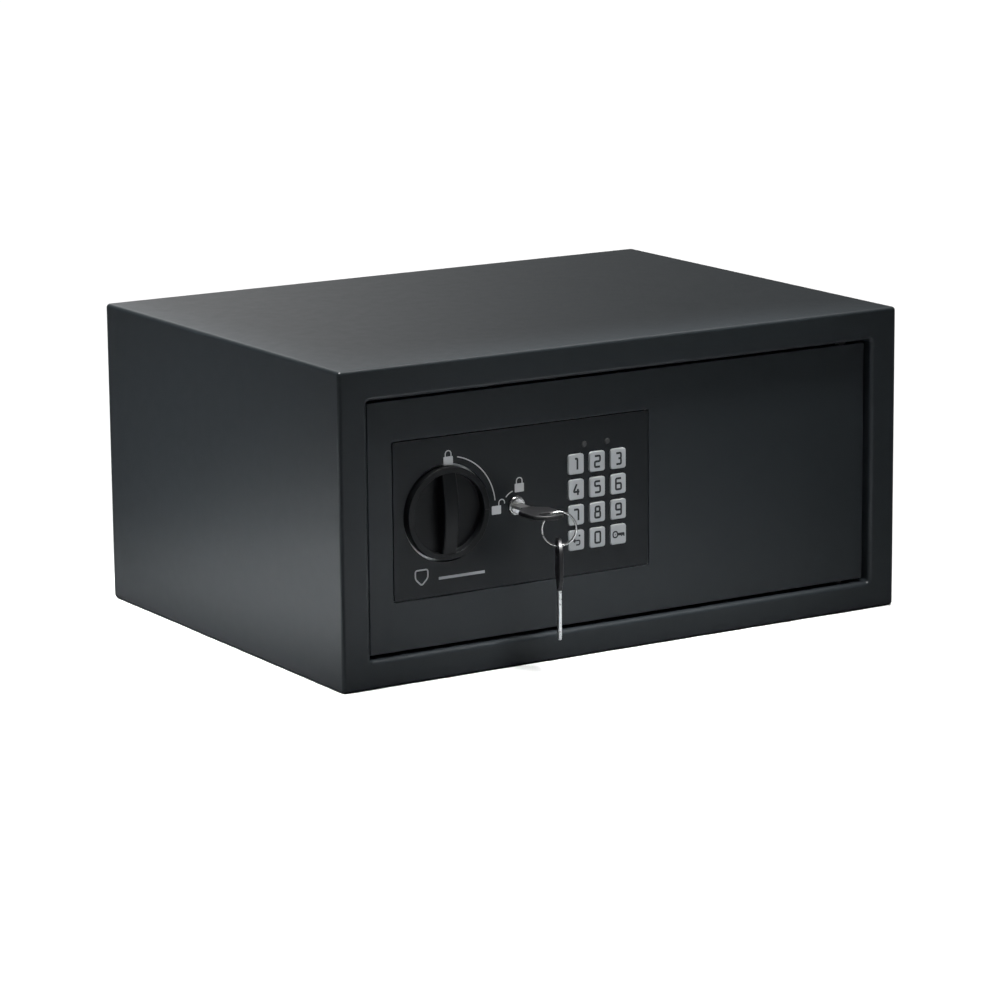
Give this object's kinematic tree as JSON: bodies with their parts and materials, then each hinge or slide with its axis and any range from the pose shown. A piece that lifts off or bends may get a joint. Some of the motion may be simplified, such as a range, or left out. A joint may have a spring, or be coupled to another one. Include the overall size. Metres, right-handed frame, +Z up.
{
  "type": "in-room laptop safe",
  "caption": "Black steel in-room laptop safe with keypad, turn knob, emergency key lock, keys on a ring, hinged door and sliding bolts.",
  "frame": {"origin": "middle of the underside, on the surface that the safe stands on", "axes": "+X to the right of someone who faces the door, +Y towards the back, +Z up"},
  "size_m": [0.43, 0.3624, 0.205],
  "materials": {
    "powder_coat": "fine-textured matt powder coat",
    "black_plastic": "fine-grained black moulding",
    "key_plastic": "satin light grey moulding",
    "lens_plastic": "tinted clear lens",
    "zinc_steel": "zinc plate",
    "bright_steel": "polished nickel plate",
    "green_board": "glass-fibre board with solder mask",
    "grey_rubber": "silicone rubber",
    "felt": "needled felt",
    "battery_wrap": "shrink wrap over a steel can",
    "red_plastic": "red moulding"
  },
  "bodies": {
    "safe_body": {"body_shell": "powder_coat", "front_frame": "powder_coat", "back_panel": "powder_coat", "floor_mat": "felt", "hinge_pin_lower": "zinc_steel", "hinge_pin_upper": "zinc_steel"},
    "door": {"door_plate": "powder_coat", "hinge_tube_lower": "zinc_steel", "hinge_tube_upper": "zinc_steel", "mount_plate": "zinc_steel", "fascia": "black_plastic", "led_left": "lens_plastic", "led_right": "lens_plastic", "keypad_mat": "grey_rubber", "circuit_board": "green_board", "bolt_guide": "zinc_steel", "solenoid": "zinc_steel", "plunger_spring": "bright_steel", "lock_barrel": "bright_steel", "lock_nut": "zinc_steel", "battery_tray": "black_plastic", "battery_1": "battery_wrap", "battery_2": "battery_wrap", "battery_3": "battery_wrap", "battery_4": "battery_wrap", "lock_cover": "powder_coat", "cover_screw_1": "zinc_steel", "cover_screw_2": "zinc_steel", "cover_screw_3": "zinc_steel", "cover_screw_4": "zinc_steel"},
    "knob_set": {"knob": "black_plastic", "knob_spindle": "zinc_steel", "drive_crank": "zinc_steel", "spindle_screw": "zinc_steel"},
    "bolt_carriage": {"carriage": "zinc_steel", "bolt_lower": "bright_steel", "bolt_upper": "bright_steel"},
    "plunger": {"solenoid_plunger": "bright_steel"},
    "plug": {"lock_plug": "bright_steel", "lock_cam": "zinc_steel"},
    "lock_key": {"key_bow": "black_plastic", "key_blade": "bright_steel"},
    "ring": {"key_ring": "bright_steel"},
    "spare_key": {"spare_key_bow": "black_plastic", "spare_key_blade": "bright_steel"},
    "reset": {"reset_button": "red_plastic"},
    "battery_lid": {"battery_cover": "black_plastic"},
    "button_1": {"key_1": "key_plastic"},
    "button_2": {"key_2": "key_plastic"},
    "button_3": {"key_3": "key_plastic"},
    "button_4": {"key_4": "key_plastic"},
    "button_5": {"key_5": "key_plastic"},
    "button_6": {"key_6": "key_plastic"},
    "button_7": {"key_7": "key_plastic"},
    "button_8": {"key_8": "key_plastic"},
    "button_9": {"key_9": "key_plastic"},
    "button_clear": {"key_clear": "key_plastic"},
    "button_0": {"key_0": "key_plastic"},
    "button_enter": {"key_enter": "key_plastic"}
  },
  "joints": [
    {"name": "door_swing", "type": "hinge", "parent": "safe_body", "child": "door", "pos_m": [0.178, -0.1452, 0.1015], "axis": [0, 0, 1], "range_deg": [0, 105]},
    {"name": "bolt_throw", "type": "slide", "parent": "door", "child": "bolt_carriage", "axis": [-1, 0, 0], "range_m": [0, 0.015]},
    {"name": "knob_turn", "type": "hinge", "parent": "door", "child": "knob_set", "pos_m": [-0.135, -0.153, 0.1059], "axis": [0, -1, 0], "range_deg": [0, 90]},
    {"name": "key_turn", "type": "hinge", "parent": "door", "child": "plug", "pos_m": [-0.0831, -0.1543, 0.1044], "axis": [0, 1, 0], "range_deg": [0, 90]},
    {"name": "key_withdraw", "type": "slide", "parent": "plug", "child": "lock_key", "axis": [0, -1, 0], "range_m": [0, 0.024]},
    {"name": "ring_sway", "type": "hinge", "parent": "lock_key", "child": "ring", "pos_m": [-0.0831, -0.1907, 0.1044], "axis": [0, 1, 0], "range_deg": [-90, 0]},
    {"name": "spare_key_swing", "type": "hinge", "parent": "ring", "child": "spare_key", "pos_m": [-0.07707, -0.19364, 0.08491], "axis": [0.8988, -0.4384, 0], "range_deg": [-60, 35]},
    {"name": "plunger_pull", "type": "slide", "parent": "door", "child": "plunger", "axis": [0, 0, 1], "range_m": [0, 0.003], "stiffness_N_per_m": 100, "springref_m": -0.005, "deforming": ["plunger_spring"]},
    {"name": "reset_press", "type": "slide", "parent": "door", "child": "reset", "axis": [0, -1, 0], "range_m": [0, 0.0015], "stiffness_N_per_m": 400},
    {"name": "battery_lid_slide", "type": "slide", "parent": "door", "child": "battery_lid", "axis": [1, 0, 0], "range_m": [0, 0.066]},
    {"name": "key_1_press", "type": "slide", "parent": "door", "child": "button_1", "axis": [0, 1, 0], "range_m": [0, 0.0008], "stiffness_N_per_m": 600},
    {"name": "key_2_press", "type": "slide", "parent": "door", "child": "button_2", "axis": [0, 1, 0], "range_m": [0, 0.0008], "stiffness_N_per_m": 600},
    {"name": "key_3_press", "type": "slide", "parent": "door", "child": "button_3", "axis": [0, 1, 0], "range_m": [0, 0.0008], "stiffness_N_per_m": 600},
    {"name": "key_4_press", "type": "slide", "parent": "door", "child": "button_4", "axis": [0, 1, 0], "range_m": [0, 0.0008], "stiffness_N_per_m": 600},
    {"name": "key_5_press", "type": "slide", "parent": "door", "child": "button_5", "axis": [0, 1, 0], "range_m": [0, 0.0008], "stiffness_N_per_m": 600},
    {"name": "key_6_press", "type": "slide", "parent": "door", "child": "button_6", "axis": [0, 1, 0], "range_m": [0, 0.0008], "stiffness_N_per_m": 600},
    {"name": "key_7_press", "type": "slide", "parent": "door", "child": "button_7", "axis": [0, 1, 0], "range_m": [0, 0.0008], "stiffness_N_per_m": 600},
    {"name": "key_8_press", "type": "slide", "parent": "door", "child": "button_8", "axis": [0, 1, 0], "range_m": [0, 0.0008], "stiffness_N_per_m": 600},
    {"name": "key_9_press", "type": "slide", "parent": "door", "child": "button_9", "axis": [0, 1, 0], "range_m": [0, 0.0008], "stiffness_N_per_m": 600},
    {"name": "key_clear_press", "type": "slide", "parent": "door", "child": "button_clear", "axis": [0, 1, 0], "range_m": [0, 0.0008], "stiffness_N_per_m": 600},
    {"name": "key_0_press", "type": "slide", "parent": "door", "child": "button_0", "axis": [0, 1, 0], "range_m": [0, 0.0008], "stiffness_N_per_m": 600},
    {"name": "key_enter_press", "type": "slide", "parent": "door", "child": "button_enter", "axis": [0, 1, 0], "range_m": [0, 0.0008], "stiffness_N_per_m": 600}
  ],
  "couplings": [
    {"joint": "knob_turn", "follows": "bolt_throw", "rad_per_m": 104.72},
    {"joint": "ring_sway", "follows": "key_turn", "ratio": -1}
  ]
}
